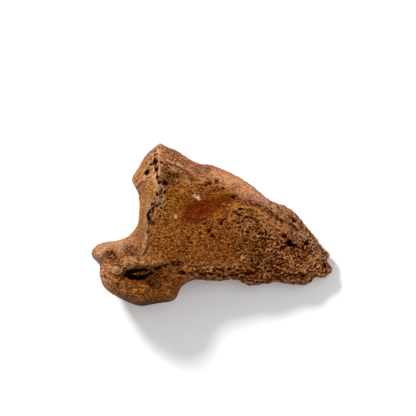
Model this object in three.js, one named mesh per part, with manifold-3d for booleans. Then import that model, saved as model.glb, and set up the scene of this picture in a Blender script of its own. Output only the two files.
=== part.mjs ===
// Fossil cave bear claw: the last toe bone of a cave bear, the core that carried the horn claw.
//
// The bone is described in its own frame. X runs from the joint to the tip, Y from the belly edge to the
// back edge, and Z across the bone, with its middle plane at Z = 0. It is one solid: a flat, swelling body
// inside an outline, whose flanks carry ridges, hollows and pits. At the end it is laid on one flank, as it
// comes to rest on a table, with +Z up.

import * as THREE from "three";
import { mergeVertices } from "three/addons/utils/BufferGeometryUtils.js";
import Module from "manifold-3d";

const wasm = await Module();
wasm.setup();

// ---------------------------------------------------------------- driving dimensions, in millimetres
const LENGTH = 59.9; // joint lip to tip
const DEPTH = 40.3; // belly edge of the sinew knob to the back peak
const WIDTH = 19.4; // across the joint, the widest place
const TIP_BEND = 1.6; // how far the tip leans to the lower flank
const BEND_START = -8; // X where that lean starts
const CELL = 1.215; // size of one facet of the surface
const FLAT_WEAR = 0.3; // depth worn off where the bone lies on the table

// How the bone lies: turned about X, then about Y, then moved so that the table is Z = 0.
const REST = { rollDeg: 0.4, pitchDeg: 7.2 };

// The outline in the middle plane, clockwise from the back peak. Each knot is [x, y, reach, fullness]:
// reach is how far in from the edge the flank keeps rising, and fullness is the bluntness of that rise,
// 1 for a wedge, 2 for a round edge and 3 for a square one.
const OUTLINE = [
  // back edge, from the peak to the tip
  [-12.8, 20.2, 3.6, 1.7],
  [-10.9, 19.4, 3.8, 1.8],
  [-8.6, 18.4, 4.2, 1.9],
  [-6.6, 17.1, 4.6, 2],
  [-4.6, 15.9, 4.8, 2],
  [-2.6, 15.3, 4.8, 2],
  [-0.6, 15.1, 4.8, 2],
  [1.6, 14.3, 4.8, 2],
  [6.0, 12.35, 4.6, 2],
  [9.2, 10.5, 4.4, 2],
  [12.2, 8.0, 4, 2],
  [14.6, 6.1, 3.6, 2],
  [17.2, 5.05, 3.4, 2],
  [19.3, 4.25, 3.2, 2],
  [21.2, 2.7, 3.2, 2],
  [23.9, -0.7, 3, 2],
  [26.5, -3.75, 2.8, 2],
  [28.1, -6.1, 2.4, 2],
  // broken tip
  [29.3, -7.3, 1.8, 2],
  [29.05, -9.0, 1.6, 2],
  [29.95, -11.1, 1.6, 2],
  [29.2, -12.5, 1.6, 2],
  [28.2, -13.2, 1.8, 2],
  [26.2, -13.35, 2, 2],
  [25.0, -13.95, 2.2, 2.2],
  // belly edge, from the tip to the sinew knob
  [24.0, -14.8, 2.4, 2.4],
  [22.0, -15.1, 2.6, 2.4],
  [19.4, -14.8, 2.8, 2.4],
  [16.2, -14.2, 2.8, 2.4],
  [13.2, -14.8, 2.8, 2.4],
  [10.6, -15.1, 3, 2.4],
  [8.4, -14.85, 3, 2.4],
  [6.3, -13.6, 3, 2.4],
  [4.4, -13.45, 3, 2.4],
  [2.4, -13.85, 3.2, 2.4],
  [-1.0, -13.8, 3.4, 2.4],
  [-4.0, -13.7, 3.6, 2.3],
  [-5.7, -14.15, 3.8, 2.2],
  [-7.2, -15.1, 4, 2.1],
  [-8.15, -16.1, 4, 2.1],
  [-8.5, -17.3, 3.8, 2.1],
  // sinew knob
  [-9.2, -18.5, 3.6, 2.2],
  [-10.6, -19.05, 4, 2.2],
  [-14.2, -19.5, 4.6, 2.2],
  [-17.2, -20.1, 5, 2.2],
  [-20.2, -19.5, 5, 2.2],
  [-23.6, -17.85, 4.8, 2.2],
  [-26.2, -16.2, 4.4, 2.2],
  [-27.75, -13.5, 3.8, 2.2],
  [-28.1, -11.7, 3.2, 2.1],
  [-27.9, -10.1, 2.6, 2],
  // lower lip of the joint
  [-28.6, -9.1, 2.2, 2.2],
  [-29.6, -8.3, 2.2, 2.4],
  [-29.95, -7.2, 2.2, 2.4],
  [-29.6, -6.0, 2.2, 2.4],
  [-28.5, -4.95, 2.2, 2.2],
  // joint face, a hollow arc up to its upper lip
  [-26.6, -4.3, 2.8, 1.7],
  [-24.0, -3.85, 3.6, 1.5],
  [-21.7, -3.2, 4.2, 1.4],
  [-20.2, -2.2, 4.4, 1.35],
  [-18.9, -0.5, 4.2, 1.35],
  [-18.3, 1.6, 3.6, 1.35],
  [-18.3, 4.4, 4, 1.35],
  [-18.5, 7.6, 4.6, 1.4],
  [-19.2, 9.4, 4.4, 1.5],
  [-19.8, 11.2, 4, 1.8],
  [-19.5, 12.6, 3.6, 1.9],
  [-18.3, 14.4, 3.6, 1.9],
  [-16.9, 17.0, 3.4, 1.8],
  [-15.6, 18.3, 3.4, 1.8],
];

// Half the width of the bone at places on its flank, as a share of half of WIDTH: [x, y, share].
const HALF_WIDTHS = [
  // joint end
  [-13, 18, 0.46],
  [-17.5, 14, 0.54],
  [-13.6, 11, 0.78],
  [-16.2, 6, 0.86],
  [-16, 1, 0.93],
  [-16.4, -4, 1.0],
  [-22, -6, 0.86],
  [-27.5, -7, 0.66],
  // sinew knob
  [-24, -12, 0.88],
  [-18, -14.5, 1.0],
  [-12, -16, 0.8],
  [-18, -18.5, 0.84],
  [-13, -9, 0.92],
  // body
  [-9, -2, 0.82],
  [-8, 6, 0.72],
  [-4, -8, 0.76],
  [0, 0, 0.7],
  [4, -8.5, 0.66],
  [8, 1, 0.6],
  [10, -6, 0.6],
  [16, -2, 0.48],
  [16, -9, 0.5],
  [21, -7, 0.42],
  [25, -9, 0.35],
  [28, -10.5, 0.26],
  // back edge
  [-7, 14, 0.5],
  [0, 12, 0.48],
  [6, 9.6, 0.46],
  [12, 5.6, 0.42],
  [18, 2.4, 0.34],
  [24, -3, 0.28],
  // belly edge
  [-6, -12.6, 0.56],
  [0, -12.4, 0.5],
  [6, -12.4, 0.46],
  [13, -13.4, 0.4],
  [21, -13.6, 0.34],
];
const WIDTH_SPREAD = 3.2; // how far each of these widths is felt

// The joint face has a keel along its middle, with a hollow on either side of it: its place, two half sizes,
// the depth of the hollows, how far they lie from the middle plane and how wide they are.
const JOINT_FACE = { at: [-20, 3], half: [7, 9], turnDeg: 0, hollow: 1.2, offMiddle: 4.4, spread: 2.6 };

// Ridges: a crest along a line of points, with its half width and its height.
// Lumps and hollows: a place, two half sizes, a turn in degrees and a rise, negative for a hollow.
// Pits: small steep holes, with a place, two half sizes, a turn and a depth.
const UPPER_FLANK = {
  ridges: [
    // rim of the joint face, from the back peak down to the ledge
    {
      line: [
        [-12.6, 19.4], [-13.1, 17.2], [-13.1, 14], [-12.6, 10.8], [-13.4, 8], [-13.5, 5.6],
        [-15.2, 4], [-16, 2.4], [-15.8, 0], [-16, -3], [-16.4, -6.4],
      ],
      half: 0.95,
      height: 0.75,
    },
    // ledge over the sinew hollow
    {
      line: [[-25, -10.6], [-22.6, -8.6], [-19.4, -8.9], [-15.4, -9.4], [-11, -9.3]],
      half: 1.0,
      height: 0.65,
    },
    // lower lip of the sinew hollow
    {
      line: [[-22.4, -14.4], [-20.2, -13.5], [-18.4, -13.9], [-15.6, -15.8], [-13.8, -17.2]],
      half: 0.9,
      height: 0.55,
    },
    // crest between the back band and the body
    { line: [[6.4, 4.2], [9.6, 4], [12.8, 2.2], [15.6, 0.9], [18.4, -1.2]], half: 1.0, height: 0.45 },
    // back band
    { line: [[-8.6, 15], [-3.6, 12.8], [1.6, 11.6], [6.4, 9.6], [10.4, 7]], half: 1.8, height: 0.5 },
  ],
  bumps: [
    { at: [-24.1, -10.9], half: [1.3, 1.1], turnDeg: 0, rise: 0.7 },
    { at: [-20.6, -8.2], half: [1.9, 1.4], turnDeg: 10, rise: 0.5 },
    { at: [-28, -7], half: [1.9, 1.7], turnDeg: 20, rise: 0.6 },
    { at: [6.4, 3], half: [1.9, 1.5], turnDeg: -30, rise: 0.55 },
    { at: [-19.6, -17], half: [3.4, 1.8], turnDeg: -20, rise: 0.4 },
    { at: [-9.8, -17.4], half: [1.5, 1.6], turnDeg: 30, rise: 0.5 },
    // hollows
    { at: [-2.2, 5.9], half: [7.4, 3.2], turnDeg: 12, rise: -2.1 },
    { at: [-9.6, 9.6], half: [2.8, 2.6], turnDeg: -30, rise: -1.3 },
    { at: [-16.8, -11.8], half: [4.6, 1.9], turnDeg: 6, rise: -2.6 },
    { at: [-13.2, -14], half: [3.2, 1.5], turnDeg: -32, rise: -1.2 },
    { at: [-24.9, -7.8], half: [1.4, 1.3], turnDeg: 0, rise: -1.3 },
    { at: [-19.8, -6.2], half: [1.8, 1.1], turnDeg: -15, rise: -1.1 },
    { at: [10.8, -5.8], half: [4.4, 3.6], turnDeg: -20, rise: -0.6 },
    { at: [9.4, 5.6], half: [4.6, 0.9], turnDeg: -20, rise: -0.5 },
    { at: [16.6, 2], half: [3.2, 0.8], turnDeg: -38, rise: -0.4 },
    { at: [-17, 12.6], half: [1.6, 1.4], turnDeg: 40, rise: -0.5 },
  ],
  pits: [
    { at: [-17.9, -11.6], half: [2.5, 1.2], turnDeg: 4, depth: 3.2 },
    { at: [-16.1, 13], half: [0.75, 0.95], turnDeg: -20, depth: 2.2 },
    { at: [-13.7, 13.7], half: [0.6, 0.8], turnDeg: 0, depth: 1.6 },
    { at: [-13.4, 11.7], half: [0.6, 0.8], turnDeg: 15, depth: 1.6 },
    { at: [-11.7, 10.3], half: [0.8, 0.9], turnDeg: 30, depth: 1.6 },
    { at: [19.5, -4.4], half: [1.1, 1.1], turnDeg: 0, depth: 2.6 },
    { at: [-0.7, 10.5], half: [0.8, 0.7], turnDeg: 0, depth: 1.1 },
    { at: [1.3, 10.7], half: [0.8, 0.8], turnDeg: 0, depth: 1.2 },
    { at: [22.8, -12.7], half: [0.7, 0.6], turnDeg: 0, depth: 1.2 },
    { at: [-14.9, 2.9], half: [0.6, 1.5], turnDeg: -12, depth: 1.2 },
    { at: [-9.2, -9.5], half: [1.3, 0.5], turnDeg: 8, depth: 1.3 },
    { at: [-7.3, -11.8], half: [0.8, 0.6], turnDeg: 20, depth: 1.2 },
  ],
};

// The lower flank has the same parts, a little differently formed, as the two flanks of a toe bone do.
const LOWER_FLANK = {
  ridges: [
    {
      line: [
        [-12.8, 19.2], [-13.6, 16.4], [-13.4, 13], [-13.8, 9.6], [-14.4, 6], [-15.4, 3],
        [-15.9, 0], [-16.4, -3], [-17, -6],
      ],
      half: 1.0,
      height: 0.7,
    },
    { line: [[-25.4, -9.6], [-22, -8.6], [-18, -8.9], [-13, -9]], half: 1.1, height: 0.6 },
    { line: [[-23, -15], [-20, -14.2], [-16.4, -15], [-13.4, -16.8]], half: 1.0, height: 0.5 },
    { line: [[5, 4.4], [9, 3.4], [13.4, 1.6], [18, -1.6]], half: 1.2, height: 0.45 },
  ],
  bumps: [
    { at: [-27.6, -7], half: [2, 1.7], turnDeg: 10, rise: 0.5 },
    // the three places that the bone lies on: knob, upper rim and body
    { at: [-18.8, -15.6], half: [3.6, 2.4], turnDeg: -10, rise: 1.0 },
    { at: [-14.4, 8], half: [2, 3.6], turnDeg: 0, rise: 1.7 },
    { at: [16.6, -4.6], half: [4, 3], turnDeg: -20, rise: 0.6 },
    // hollows
    { at: [-2.6, 6.4], half: [8.2, 3], turnDeg: 10, rise: -1.9 },
    { at: [-17.4, -11.7], half: [4, 1.7], turnDeg: 4, rise: -2.2 },
    { at: [-12.6, -13.6], half: [3, 1.5], turnDeg: -28, rise: -1.1 },
    { at: [-24.6, -6.8], half: [1.5, 1.2], turnDeg: 0, rise: -1.1 },
    { at: [13.4, -7.2], half: [4, 3], turnDeg: 0, rise: -0.5 },
    { at: [11, 5.2], half: [5, 0.9], turnDeg: -24, rise: -0.4 },
    { at: [-7.4, -6.4], half: [3, 2], turnDeg: 30, rise: -0.4 },
    { at: [-16.2, -3], half: [2.6, 3.6], turnDeg: 0, rise: -0.9 },
  ],
  pits: [
    { at: [-16.9, -11.5], half: [2, 1.1], turnDeg: 0, depth: 2.8 },
    { at: [-15.2, 12.4], half: [0.8, 0.7], turnDeg: 30, depth: 1.6 },
    { at: [17.4, -6.2], half: [0.9, 0.8], turnDeg: 0, depth: 1.6 },
    { at: [22.4, -9.4], half: [0.8, 0.7], turnDeg: 0, depth: 1.3 },
    { at: [3.6, 9.4], half: [0.8, 0.6], turnDeg: 0, depth: 1 },
    { at: [-8.4, -10.2], half: [1.2, 0.5], turnDeg: 10, depth: 1.2 },
  ],
};

// The flanks are furrowed towards the tip, where the bone's skin has gone: the rise and the turn of the
// furrows, the lengths of their two waves, and the stretch of X over which they come in.
const FURROWS = { rise: 0.2, turnDeg: -20, across: 3.3, along: 7.6, from: 1, to: 15 };

// ---------------------------------------------------------------- the outline, and how deep a point lies
const CURVE_STEPS = 6; // samples between two knots

function sampleOutline() {
  const curve = new THREE.CatmullRomCurve3(
    OUTLINE.map(([x, y, reach]) => new THREE.Vector3(x, y, reach)),
    true,
    "centripetal",
  );
  const count = OUTLINE.length * CURVE_STEPS;
  const samples = [];
  for (let i = 0; i < count; i++) {
    const { x, y, z: reach } = curve.getPoint(i / count);
    const knot = Math.floor(i / CURVE_STEPS);
    const share = (i % CURVE_STEPS) / CURVE_STEPS;
    const next = OUTLINE[(knot + 1) % OUTLINE.length];
    const fullness = THREE.MathUtils.lerp(OUTLINE[knot][3], next[3], share);
    samples.push({ x, y, reach, fullness });
  }
  return samples;
}

const edge = sampleOutline();

// The nearest place on the outline: how far in it is (negative outside), and the reach and fullness there.
function nearestEdge(x, y) {
  let best = Infinity;
  let found = null;
  let inside = false;
  for (let i = 0, j = edge.length - 1; i < edge.length; j = i++) {
    const a = edge[j];
    const b = edge[i];
    const dx = b.x - a.x;
    const dy = b.y - a.y;
    const along = ((x - a.x) * dx + (y - a.y) * dy) / (dx * dx + dy * dy);
    const share = Math.min(1, Math.max(0, along));
    const off = Math.hypot(x - a.x - share * dx, y - a.y - share * dy);
    if (off < best) {
      best = off;
      found = { a, b, share };
    }
    if (a.y > y !== b.y > y && x < a.x + (dx * (y - a.y)) / dy) inside = !inside;
  }
  const { a, b, share } = found;
  return {
    depth: inside ? best : -best,
    reach: THREE.MathUtils.lerp(a.reach, b.reach, share),
    fullness: THREE.MathUtils.lerp(a.fullness, b.fullness, share),
  };
}

// ---------------------------------------------------------------- the relief of a flank
// Each returns 1 at its middle and falls smoothly to nothing outside its half sizes.
function bell(x, y, { at, half, turnDeg }) {
  const turn = THREE.MathUtils.degToRad(turnDeg);
  const dx = x - at[0];
  const dy = y - at[1];
  const u = (dx * Math.cos(turn) + dy * Math.sin(turn)) / half[0];
  const v = (dy * Math.cos(turn) - dx * Math.sin(turn)) / half[1];
  return Math.exp(-(u * u + v * v));
}

function crest(x, y, { line, half }) {
  let best = Infinity;
  for (let i = 1; i < line.length; i++) {
    const [ax, ay] = line[i - 1];
    const [bx, by] = line[i];
    const dx = bx - ax;
    const dy = by - ay;
    const share = THREE.MathUtils.clamp(((x - ax) * dx + (y - ay) * dy) / (dx * dx + dy * dy), 0, 1);
    best = Math.min(best, Math.hypot(x - ax - share * dx, y - ay - share * dy));
  }
  return Math.exp(-((best / half) ** 2));
}

function halfWidth(x, y) {
  let sum = 0;
  let weight = 0;
  for (const [px, py, share] of HALF_WIDTHS) {
    const w = Math.exp(-((x - px) ** 2 + (y - py) ** 2) / (2 * WIDTH_SPREAD ** 2));
    sum += w * share;
    weight += w;
  }
  return (sum / weight) * (WIDTH / 2);
}

function furrow(x, y) {
  const turn = THREE.MathUtils.degToRad(FURROWS.turnDeg);
  const along = (x * Math.cos(turn) + y * Math.sin(turn)) * ((2 * Math.PI) / FURROWS.along);
  const across = (y * Math.cos(turn) - x * Math.sin(turn)) * ((2 * Math.PI) / FURROWS.across);
  const wave = Math.sin(across + 1.4 * Math.sin(along)) * (0.6 + 0.4 * Math.sin(1.7 * along + 0.4 * across));
  return FURROWS.rise * THREE.MathUtils.smoothstep(x, FURROWS.from, FURROWS.to) * wave;
}

const LEAST_HALF_WIDTH = 1.2;

function flankHeight(x, y, flank) {
  let height = halfWidth(x, y) + furrow(x, y);
  for (const ridge of flank.ridges) height += ridge.height * crest(x, y, ridge);
  for (const bump of flank.bumps) height += bump.rise * bell(x, y, bump);
  return Math.max(height, LEAST_HALF_WIDTH);
}

// ---------------------------------------------------------------- the solid as a field, below 0 inside
const middle = (x) => -TIP_BEND * (Math.max(0, x - BEND_START) / (LENGTH / 2 - BEND_START)) ** 2;

// Where a flank's surface is over a place: side is 1 for the upper flank and -1 for the lower one.
function surfaceAt(x, y, side) {
  const { depth, reach, fullness } = nearestEdge(x, y);
  const inward = THREE.MathUtils.clamp(1 - depth / reach, 0, 1);
  const height = flankHeight(x, y, side > 0 ? UPPER_FLANK : LOWER_FLANK);
  return middle(x) + side * height * (1 - inward ** fullness) ** (1 / fullness);
}

function jointHollow(x, y, rise) {
  const across = (Math.abs(rise) - JOINT_FACE.offMiddle) / JOINT_FACE.spread;
  return JOINT_FACE.hollow * bell(x, y, JOINT_FACE) * Math.exp(-(across ** 2));
}

function field(x, y, z) {
  const { depth, reach, fullness } = nearestEdge(x, y);
  const rise = z - middle(x);
  const height = flankHeight(x, y, rise > 0 ? UPPER_FLANK : LOWER_FLANK);
  const inward = Math.max(0, 1 - (depth - jointHollow(x, y, rise)) / reach);
  const across = Math.abs(rise) / height;
  return (inward ** fullness + across ** fullness) ** (1 / fullness) - 1;
}

// ---------------------------------------------------------------- a mesh of the field
// The space is cut in cubes. Each sheet of the surface that passes through a cube gives one vertex, and each
// grid edge that the surface crosses gives one four-sided facet between the sheets around it.
const AXIS_BITS = [1, 2, 4]; // a cube's corner is a sum of these, one for each axis along which it is far
const edgeKey = (corner, bit) => corner * 8 + bit;
const CUBE_EDGES = [0, 1, 2, 3, 4, 5, 6, 7].flatMap((corner) =>
  AXIS_BITS.filter((bit) => !(corner & bit)).map((bit) => ({ from: corner, to: corner | bit, bit })),
);
// The cube's faces, each as its four edges in order, with the corner after each edge.
const CUBE_FACES = AXIS_BITS.flatMap((normal) => {
  const [p, q] = AXIS_BITS.filter((bit) => bit !== normal);
  return [0, normal].map((base) => [
    { edge: edgeKey(base, p), corner: base | p },
    { edge: edgeKey(base | p, q), corner: base | p | q },
    { edge: edgeKey(base | q, p), corner: base | q },
    { edge: edgeKey(base, q), corner: base },
  ]);
});
const cornerPlace = (corner) => new THREE.Vector3(corner & 1, (corner >> 1) & 1, corner >> 2);

// The crossed edges of a cube, grouped by the sheet that crosses them.
function sheetsOf(corners) {
  const crossed = CUBE_EDGES.filter(({ from, to }) => corners[from] < 0 !== corners[to] < 0);
  const sheet = new Map(crossed.map(({ from, bit }) => [edgeKey(from, bit), edgeKey(from, bit)]));
  const join = (a, b) => {
    const [kept, gone] = [sheet.get(a), sheet.get(b)];
    for (const [key, id] of sheet) if (id === gone) sheet.set(key, kept);
  };
  for (const face of CUBE_FACES) {
    const cut = face.filter(({ edge }) => sheet.has(edge));
    if (cut.length === 2) join(cut[0].edge, cut[1].edge);
    if (cut.length === 4)
      face.forEach(({ edge, corner }, i) => {
        if (corners[corner] < 0) join(edge, face[(i + 1) % 4].edge);
      });
  }
  return [...new Set(sheet.values())].map((id) =>
    crossed.filter(({ from, bit }) => sheet.get(edgeKey(from, bit)) === id),
  );
}

function surfaceNet(value, low, high, cell) {
  const count = low.map((l, k) => Math.ceil((high[k] - l) / cell) + 1);
  const index = (i, j, k) => (k * count[1] + j) * count[0] + i;
  const each = (limits, visit) => {
    for (let k = 0; k < limits[2]; k++)
      for (let j = 0; j < limits[1]; j++) for (let i = 0; i < limits[0]; i++) visit(i, j, k);
  };
  const values = new Float64Array(count[0] * count[1] * count[2]);
  each(count, (i, j, k) => {
    values[index(i, j, k)] = value(low[0] + i * cell, low[1] + j * cell, low[2] + k * cell);
  });

  const vertices = [];
  const vertexOf = new Map(); // by cube and crossed edge
  const vertexKey = (i, j, k, edge) => index(i, j, k) * 64 + edge;
  const cubes = count.map((n) => n - 1);
  each(cubes, (i, j, k) => {
    const corners = CUBE_EDGES.reduce((found, { from, to }) => {
      for (const c of [from, to]) found[c] ??= values[index(i + (c & 1), j + ((c >> 1) & 1), k + (c >> 2))];
      return found;
    }, []);
    if (corners.every((v) => v < 0) || corners.every((v) => v >= 0)) return;
    for (const sheet of sheetsOf(corners)) {
      const place = new THREE.Vector3();
      for (const { from, to, bit } of sheet) {
        const share = corners[from] / (corners[from] - corners[to]);
        place.add(cornerPlace(from).lerp(cornerPlace(to), share));
        vertexOf.set(vertexKey(i, j, k, edgeKey(from, bit)), vertices.length);
      }
      place.divideScalar(sheet.length).add(new THREE.Vector3(i, j, k)).multiplyScalar(cell);
      vertices.push(place.add(new THREE.Vector3(...low)));
    }
  });

  const quads = [];
  each(cubes, (i, j, k) => {
    const here = values[index(i, j, k)] < 0;
    AXIS_BITS.forEach((bit, axis) => {
      const step = cornerPlace(bit);
      const there = values[index(i + step.x, j + step.y, k + step.z)] < 0;
      if (here === there) return;
      const [p, q] = [AXIS_BITS[(axis + 1) % 3], AXIS_BITS[(axis + 2) % 3]];
      const around = [0, p, p | q, q].map((corner) => {
        const back = cornerPlace(corner);
        return vertexOf.get(vertexKey(i - back.x, j - back.y, k - back.z, edgeKey(corner, bit)));
      });
      quads.push(here ? around : around.reverse());
    });
  });
  return { vertices, quads };
}

// ---------------------------------------------------------------- even facets, each corner on the surface
const RELAX_ROUNDS = 4;
const RELAX_SHARE = 0.5;
const PROBE = 0.02; // step for the slope of the field, in millimetres
const LONGEST_STEP = 0.3;

function ontoSurface(point, value) {
  for (let round = 0; round < 2; round++) {
    const at = value(point.x, point.y, point.z);
    const slope = new THREE.Vector3(
      value(point.x + PROBE, point.y, point.z) - at,
      value(point.x, point.y + PROBE, point.z) - at,
      value(point.x, point.y, point.z + PROBE) - at,
    ).divideScalar(PROBE);
    const step = THREE.MathUtils.clamp(-at / slope.length(), -LONGEST_STEP, LONGEST_STEP);
    point.addScaledVector(slope.normalize(), step);
  }
}

function relax({ vertices, quads }, value) {
  const neighbours = vertices.map(() => new Set());
  for (const quad of quads)
    quad.forEach((v, i) => {
      neighbours[v].add(quad[(i + 1) % 4]);
      neighbours[v].add(quad[(i + 3) % 4]);
    });
  for (let round = 0; round < RELAX_ROUNDS; round++) {
    const before = vertices.map((v) => v.clone());
    vertices.forEach((vertex, i) => {
      const mean = new THREE.Vector3();
      for (const n of neighbours[i]) mean.add(before[n]);
      vertex.lerp(mean.divideScalar(neighbours[i].size), RELAX_SHARE);
      ontoSurface(vertex, value);
    });
  }
}

function toGeometry({ vertices, quads }) {
  const triangles = quads.flatMap(([a, b, c, d]) => {
    const short = vertices[a].distanceTo(vertices[c]) < vertices[b].distanceTo(vertices[d]);
    return short ? [a, b, c, a, c, d] : [a, b, d, b, c, d];
  });
  const geometry = new THREE.BufferGeometry().setFromPoints(vertices);
  geometry.setIndex(triangles);
  return mergeVertices(geometry);
}

// ---------------------------------------------------------------- the bone, laid on its lower flank
function layDown(geometry) {
  const roll = new THREE.Matrix4().makeRotationX(THREE.MathUtils.degToRad(REST.rollDeg));
  const pitch = new THREE.Matrix4().makeRotationY(THREE.MathUtils.degToRad(REST.pitchDeg));
  geometry.applyMatrix4(roll).applyMatrix4(pitch);
  geometry.computeBoundingBox();
  const { min, max } = geometry.boundingBox;
  const table = min.z + FLAT_WEAR;
  const place = geometry.getAttribute("position");
  for (let i = 0; i < place.count; i++) place.setZ(i, Math.max(place.getZ(i), table));
  geometry.translate(-(min.x + max.x) / 2, -(min.y + max.y) / 2, -table);
  geometry.computeVertexNormals();
  return geometry;
}

// ---------------------------------------------------------------- pits, cut as blunt hollow drops
const PIT_SIDES = 9;
const PIT_RINGS = 6;

function pitGeometry({ at, half, turnDeg, depth }, side) {
  const drop = new THREE.SphereGeometry(1, PIT_SIDES, PIT_RINGS);
  drop.rotateX(Math.PI / 2).scale(half[0], half[1], depth);
  drop.rotateZ(THREE.MathUtils.degToRad(turnDeg));
  return drop.translate(at[0], at[1], surfaceAt(...at, side));
}

function toSolid(geometry) {
  const bare = geometry.clone();
  bare.deleteAttribute("normal");
  bare.deleteAttribute("uv");
  const merged = mergeVertices(bare);
  const vertProperties = merged.getAttribute("position").array;
  const triVerts = new Uint32Array(merged.index.array);
  return new wasm.Manifold(new wasm.Mesh({ numProp: 3, vertProperties, triVerts }));
}

function fromSolid(solid) {
  const { vertProperties, triVerts } = solid.getMesh();
  const geometry = new THREE.BufferGeometry();
  geometry.setAttribute("position", new THREE.BufferAttribute(vertProperties, 3));
  return geometry.setIndex(new THREE.BufferAttribute(triVerts, 1));
}

function cutPits(geometry) {
  let solid = toSolid(geometry);
  for (const [flank, side] of [[UPPER_FLANK, 1], [LOWER_FLANK, -1]])
    for (const pit of flank.pits) solid = solid.subtract(toSolid(pitGeometry(pit, side)));
  return fromSolid(solid);
}

function makeBone() {
  const margin = 1.7 * CELL;
  const low = [-LENGTH / 2 - margin, -DEPTH / 2 - margin, -WIDTH / 2 - TIP_BEND - margin];
  const high = [LENGTH / 2 + margin, DEPTH / 2 + margin, WIDTH / 2 + margin];
  const net = surfaceNet(field, low, high, CELL);
  relax(net, field);
  return layDown(cutPits(toGeometry(net)));
}

const bone = new THREE.Mesh(
  makeBone(),
  new THREE.MeshStandardMaterial({ color: 0x9a6334, roughness: 0.62, metalness: 0 }),
);
bone.name = "claw_bone";

const claw = new THREE.Group();
claw.add(bone);

export default claw;
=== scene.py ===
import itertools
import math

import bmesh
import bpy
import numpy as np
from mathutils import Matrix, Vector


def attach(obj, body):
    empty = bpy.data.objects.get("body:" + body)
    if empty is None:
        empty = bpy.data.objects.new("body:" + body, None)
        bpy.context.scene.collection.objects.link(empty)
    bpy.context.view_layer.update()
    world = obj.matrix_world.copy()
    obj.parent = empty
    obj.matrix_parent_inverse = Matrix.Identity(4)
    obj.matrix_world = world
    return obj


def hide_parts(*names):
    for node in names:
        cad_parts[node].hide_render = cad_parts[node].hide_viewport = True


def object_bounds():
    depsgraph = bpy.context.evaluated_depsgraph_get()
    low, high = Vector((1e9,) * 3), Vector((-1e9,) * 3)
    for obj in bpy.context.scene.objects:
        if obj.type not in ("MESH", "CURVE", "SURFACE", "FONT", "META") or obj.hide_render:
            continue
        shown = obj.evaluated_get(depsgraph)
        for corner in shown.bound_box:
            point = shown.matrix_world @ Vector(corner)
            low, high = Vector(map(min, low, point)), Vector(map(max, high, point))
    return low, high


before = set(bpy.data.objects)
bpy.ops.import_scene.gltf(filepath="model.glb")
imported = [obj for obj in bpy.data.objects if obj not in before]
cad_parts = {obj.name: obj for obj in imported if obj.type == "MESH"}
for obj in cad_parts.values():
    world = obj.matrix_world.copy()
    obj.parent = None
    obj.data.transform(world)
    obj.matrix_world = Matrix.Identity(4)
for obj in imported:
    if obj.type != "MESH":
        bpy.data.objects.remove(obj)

# Fossil cave bear claw, the visual model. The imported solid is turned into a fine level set, its
# skin is carved with the rims, slits, pores and spongy tissue of old bone, and the result is meshed
# again. Lengths in the carving are millimetres. Places on the bone are given in its own frame, as in
# the part's source: X from the joint to the tip, Y from the belly edge to the back edge, Z out of
# the upper flank. The last number given to the carving's noise is its salt, which sets each noise
# apart from the others.

import openvdb
from mathutils import Matrix, Vector
from mathutils.bvhtree import BVHTree

solid_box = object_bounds()
MM = 0.001


def added(name, data):
    """A new object in the scene, with a mesh, a lamp or a camera."""
    thing = bpy.data.objects.new(name, data)
    bpy.context.scene.collection.objects.link(thing)
    return thing


# ------------------------ how the bone lies in the frame
ROLL = math.radians(0.4)
PITCH = math.radians(7.2)
ORIGIN = np.array([0.274, 0.048, 7.682])  # the bone's own origin in the frame
TIP_BEND = 1.6  # how far the bone's middle has come down at the tip
BEND_START = -8.0  # where it starts to
HALF_LENGTH = 29.95

TURN = Matrix.Rotation(PITCH, 3, "Y") @ Matrix.Rotation(ROLL, 3, "X")
TURN_ROWS = np.array(TURN)


def to_bone(points):
    return (points - ORIGIN) @ TURN_ROWS


def to_frame(points):
    return np.asarray(points) @ TURN_ROWS.T + ORIGIN


def middle(x):
    """The height of the bone's middle at a place along it."""
    return -TIP_BEND * (np.maximum(0, x - BEND_START) / (HALF_LENGTH - BEND_START)) ** 2


# ------------------------ random numbers and smooth noise
SIDE = 64  # the tables of random numbers repeat after so many cells along each axis
SEED = 7
SALT_SHIFT = np.array([17, 5, 29])  # how many cells further on each salt reads the tables
TABLES = np.random.default_rng(SEED).random((4, SIDE**3), dtype=np.float32)


def axis_steps(low, steps, salt):
    """For each axis and each step from a cell, the axis's part of the number of the cell there."""
    shift = SALT_SHIFT * salt
    return [
        [((low[:, axis] + step + shift[axis]) % SIDE) * SIDE ** (2 - axis) for step in steps]
        for axis in range(3)
    ]


def cell_of(points):
    """The cell that each point lies in, and how far through it the point is along each axis."""
    low = np.floor(points)
    return low.astype(np.int32), (points - low).astype(np.float32)


def smooth_noise(points, size, salt, channels=1):
    """Random waves from -1 to 1, a column for each channel, with crests about two sizes apart."""
    low, share = cell_of(points / size)
    share = share * share * (3 - 2 * share)
    steps = axis_steps(low, (0, 1), salt)
    weights = [(1 - share[:, axis], share[:, axis]) for axis in range(3)]
    total = np.zeros((channels, len(points)), np.float32)
    for i, j, k in itertools.product((0, 1), repeat=3):
        number = steps[0][i] + steps[1][j] + steps[2][k]
        weight = weights[0][i] * weights[1][j] * weights[2][k]
        for channel in range(channels):
            total[channel] += weight * TABLES[channel][number]
    return 2 * total[0] - 1 if channels == 1 else 2 * total.T - 1


ROUGH_OCTAVES = 3
ROUGH_REACH = 1.6  # about what the waves of all the octaves reach together


def rough_noise(points, size, salt):
    """Waves of which each octave has half the size and height of the one before."""
    waves = [
        smooth_noise(points, size / 2**octave, salt + octave) / 2**octave
        for octave in range(ROUGH_OCTAVES)
    ]
    return sum(waves) / ROUGH_REACH


def warped(points, *waves):
    """The points, moved about by smooth noise: each wave has its size, its reach and its salt."""
    for size, reach, salt in waves:
        points = points + reach * smooth_noise(points, size, salt, channels=3)
    return points


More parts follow.
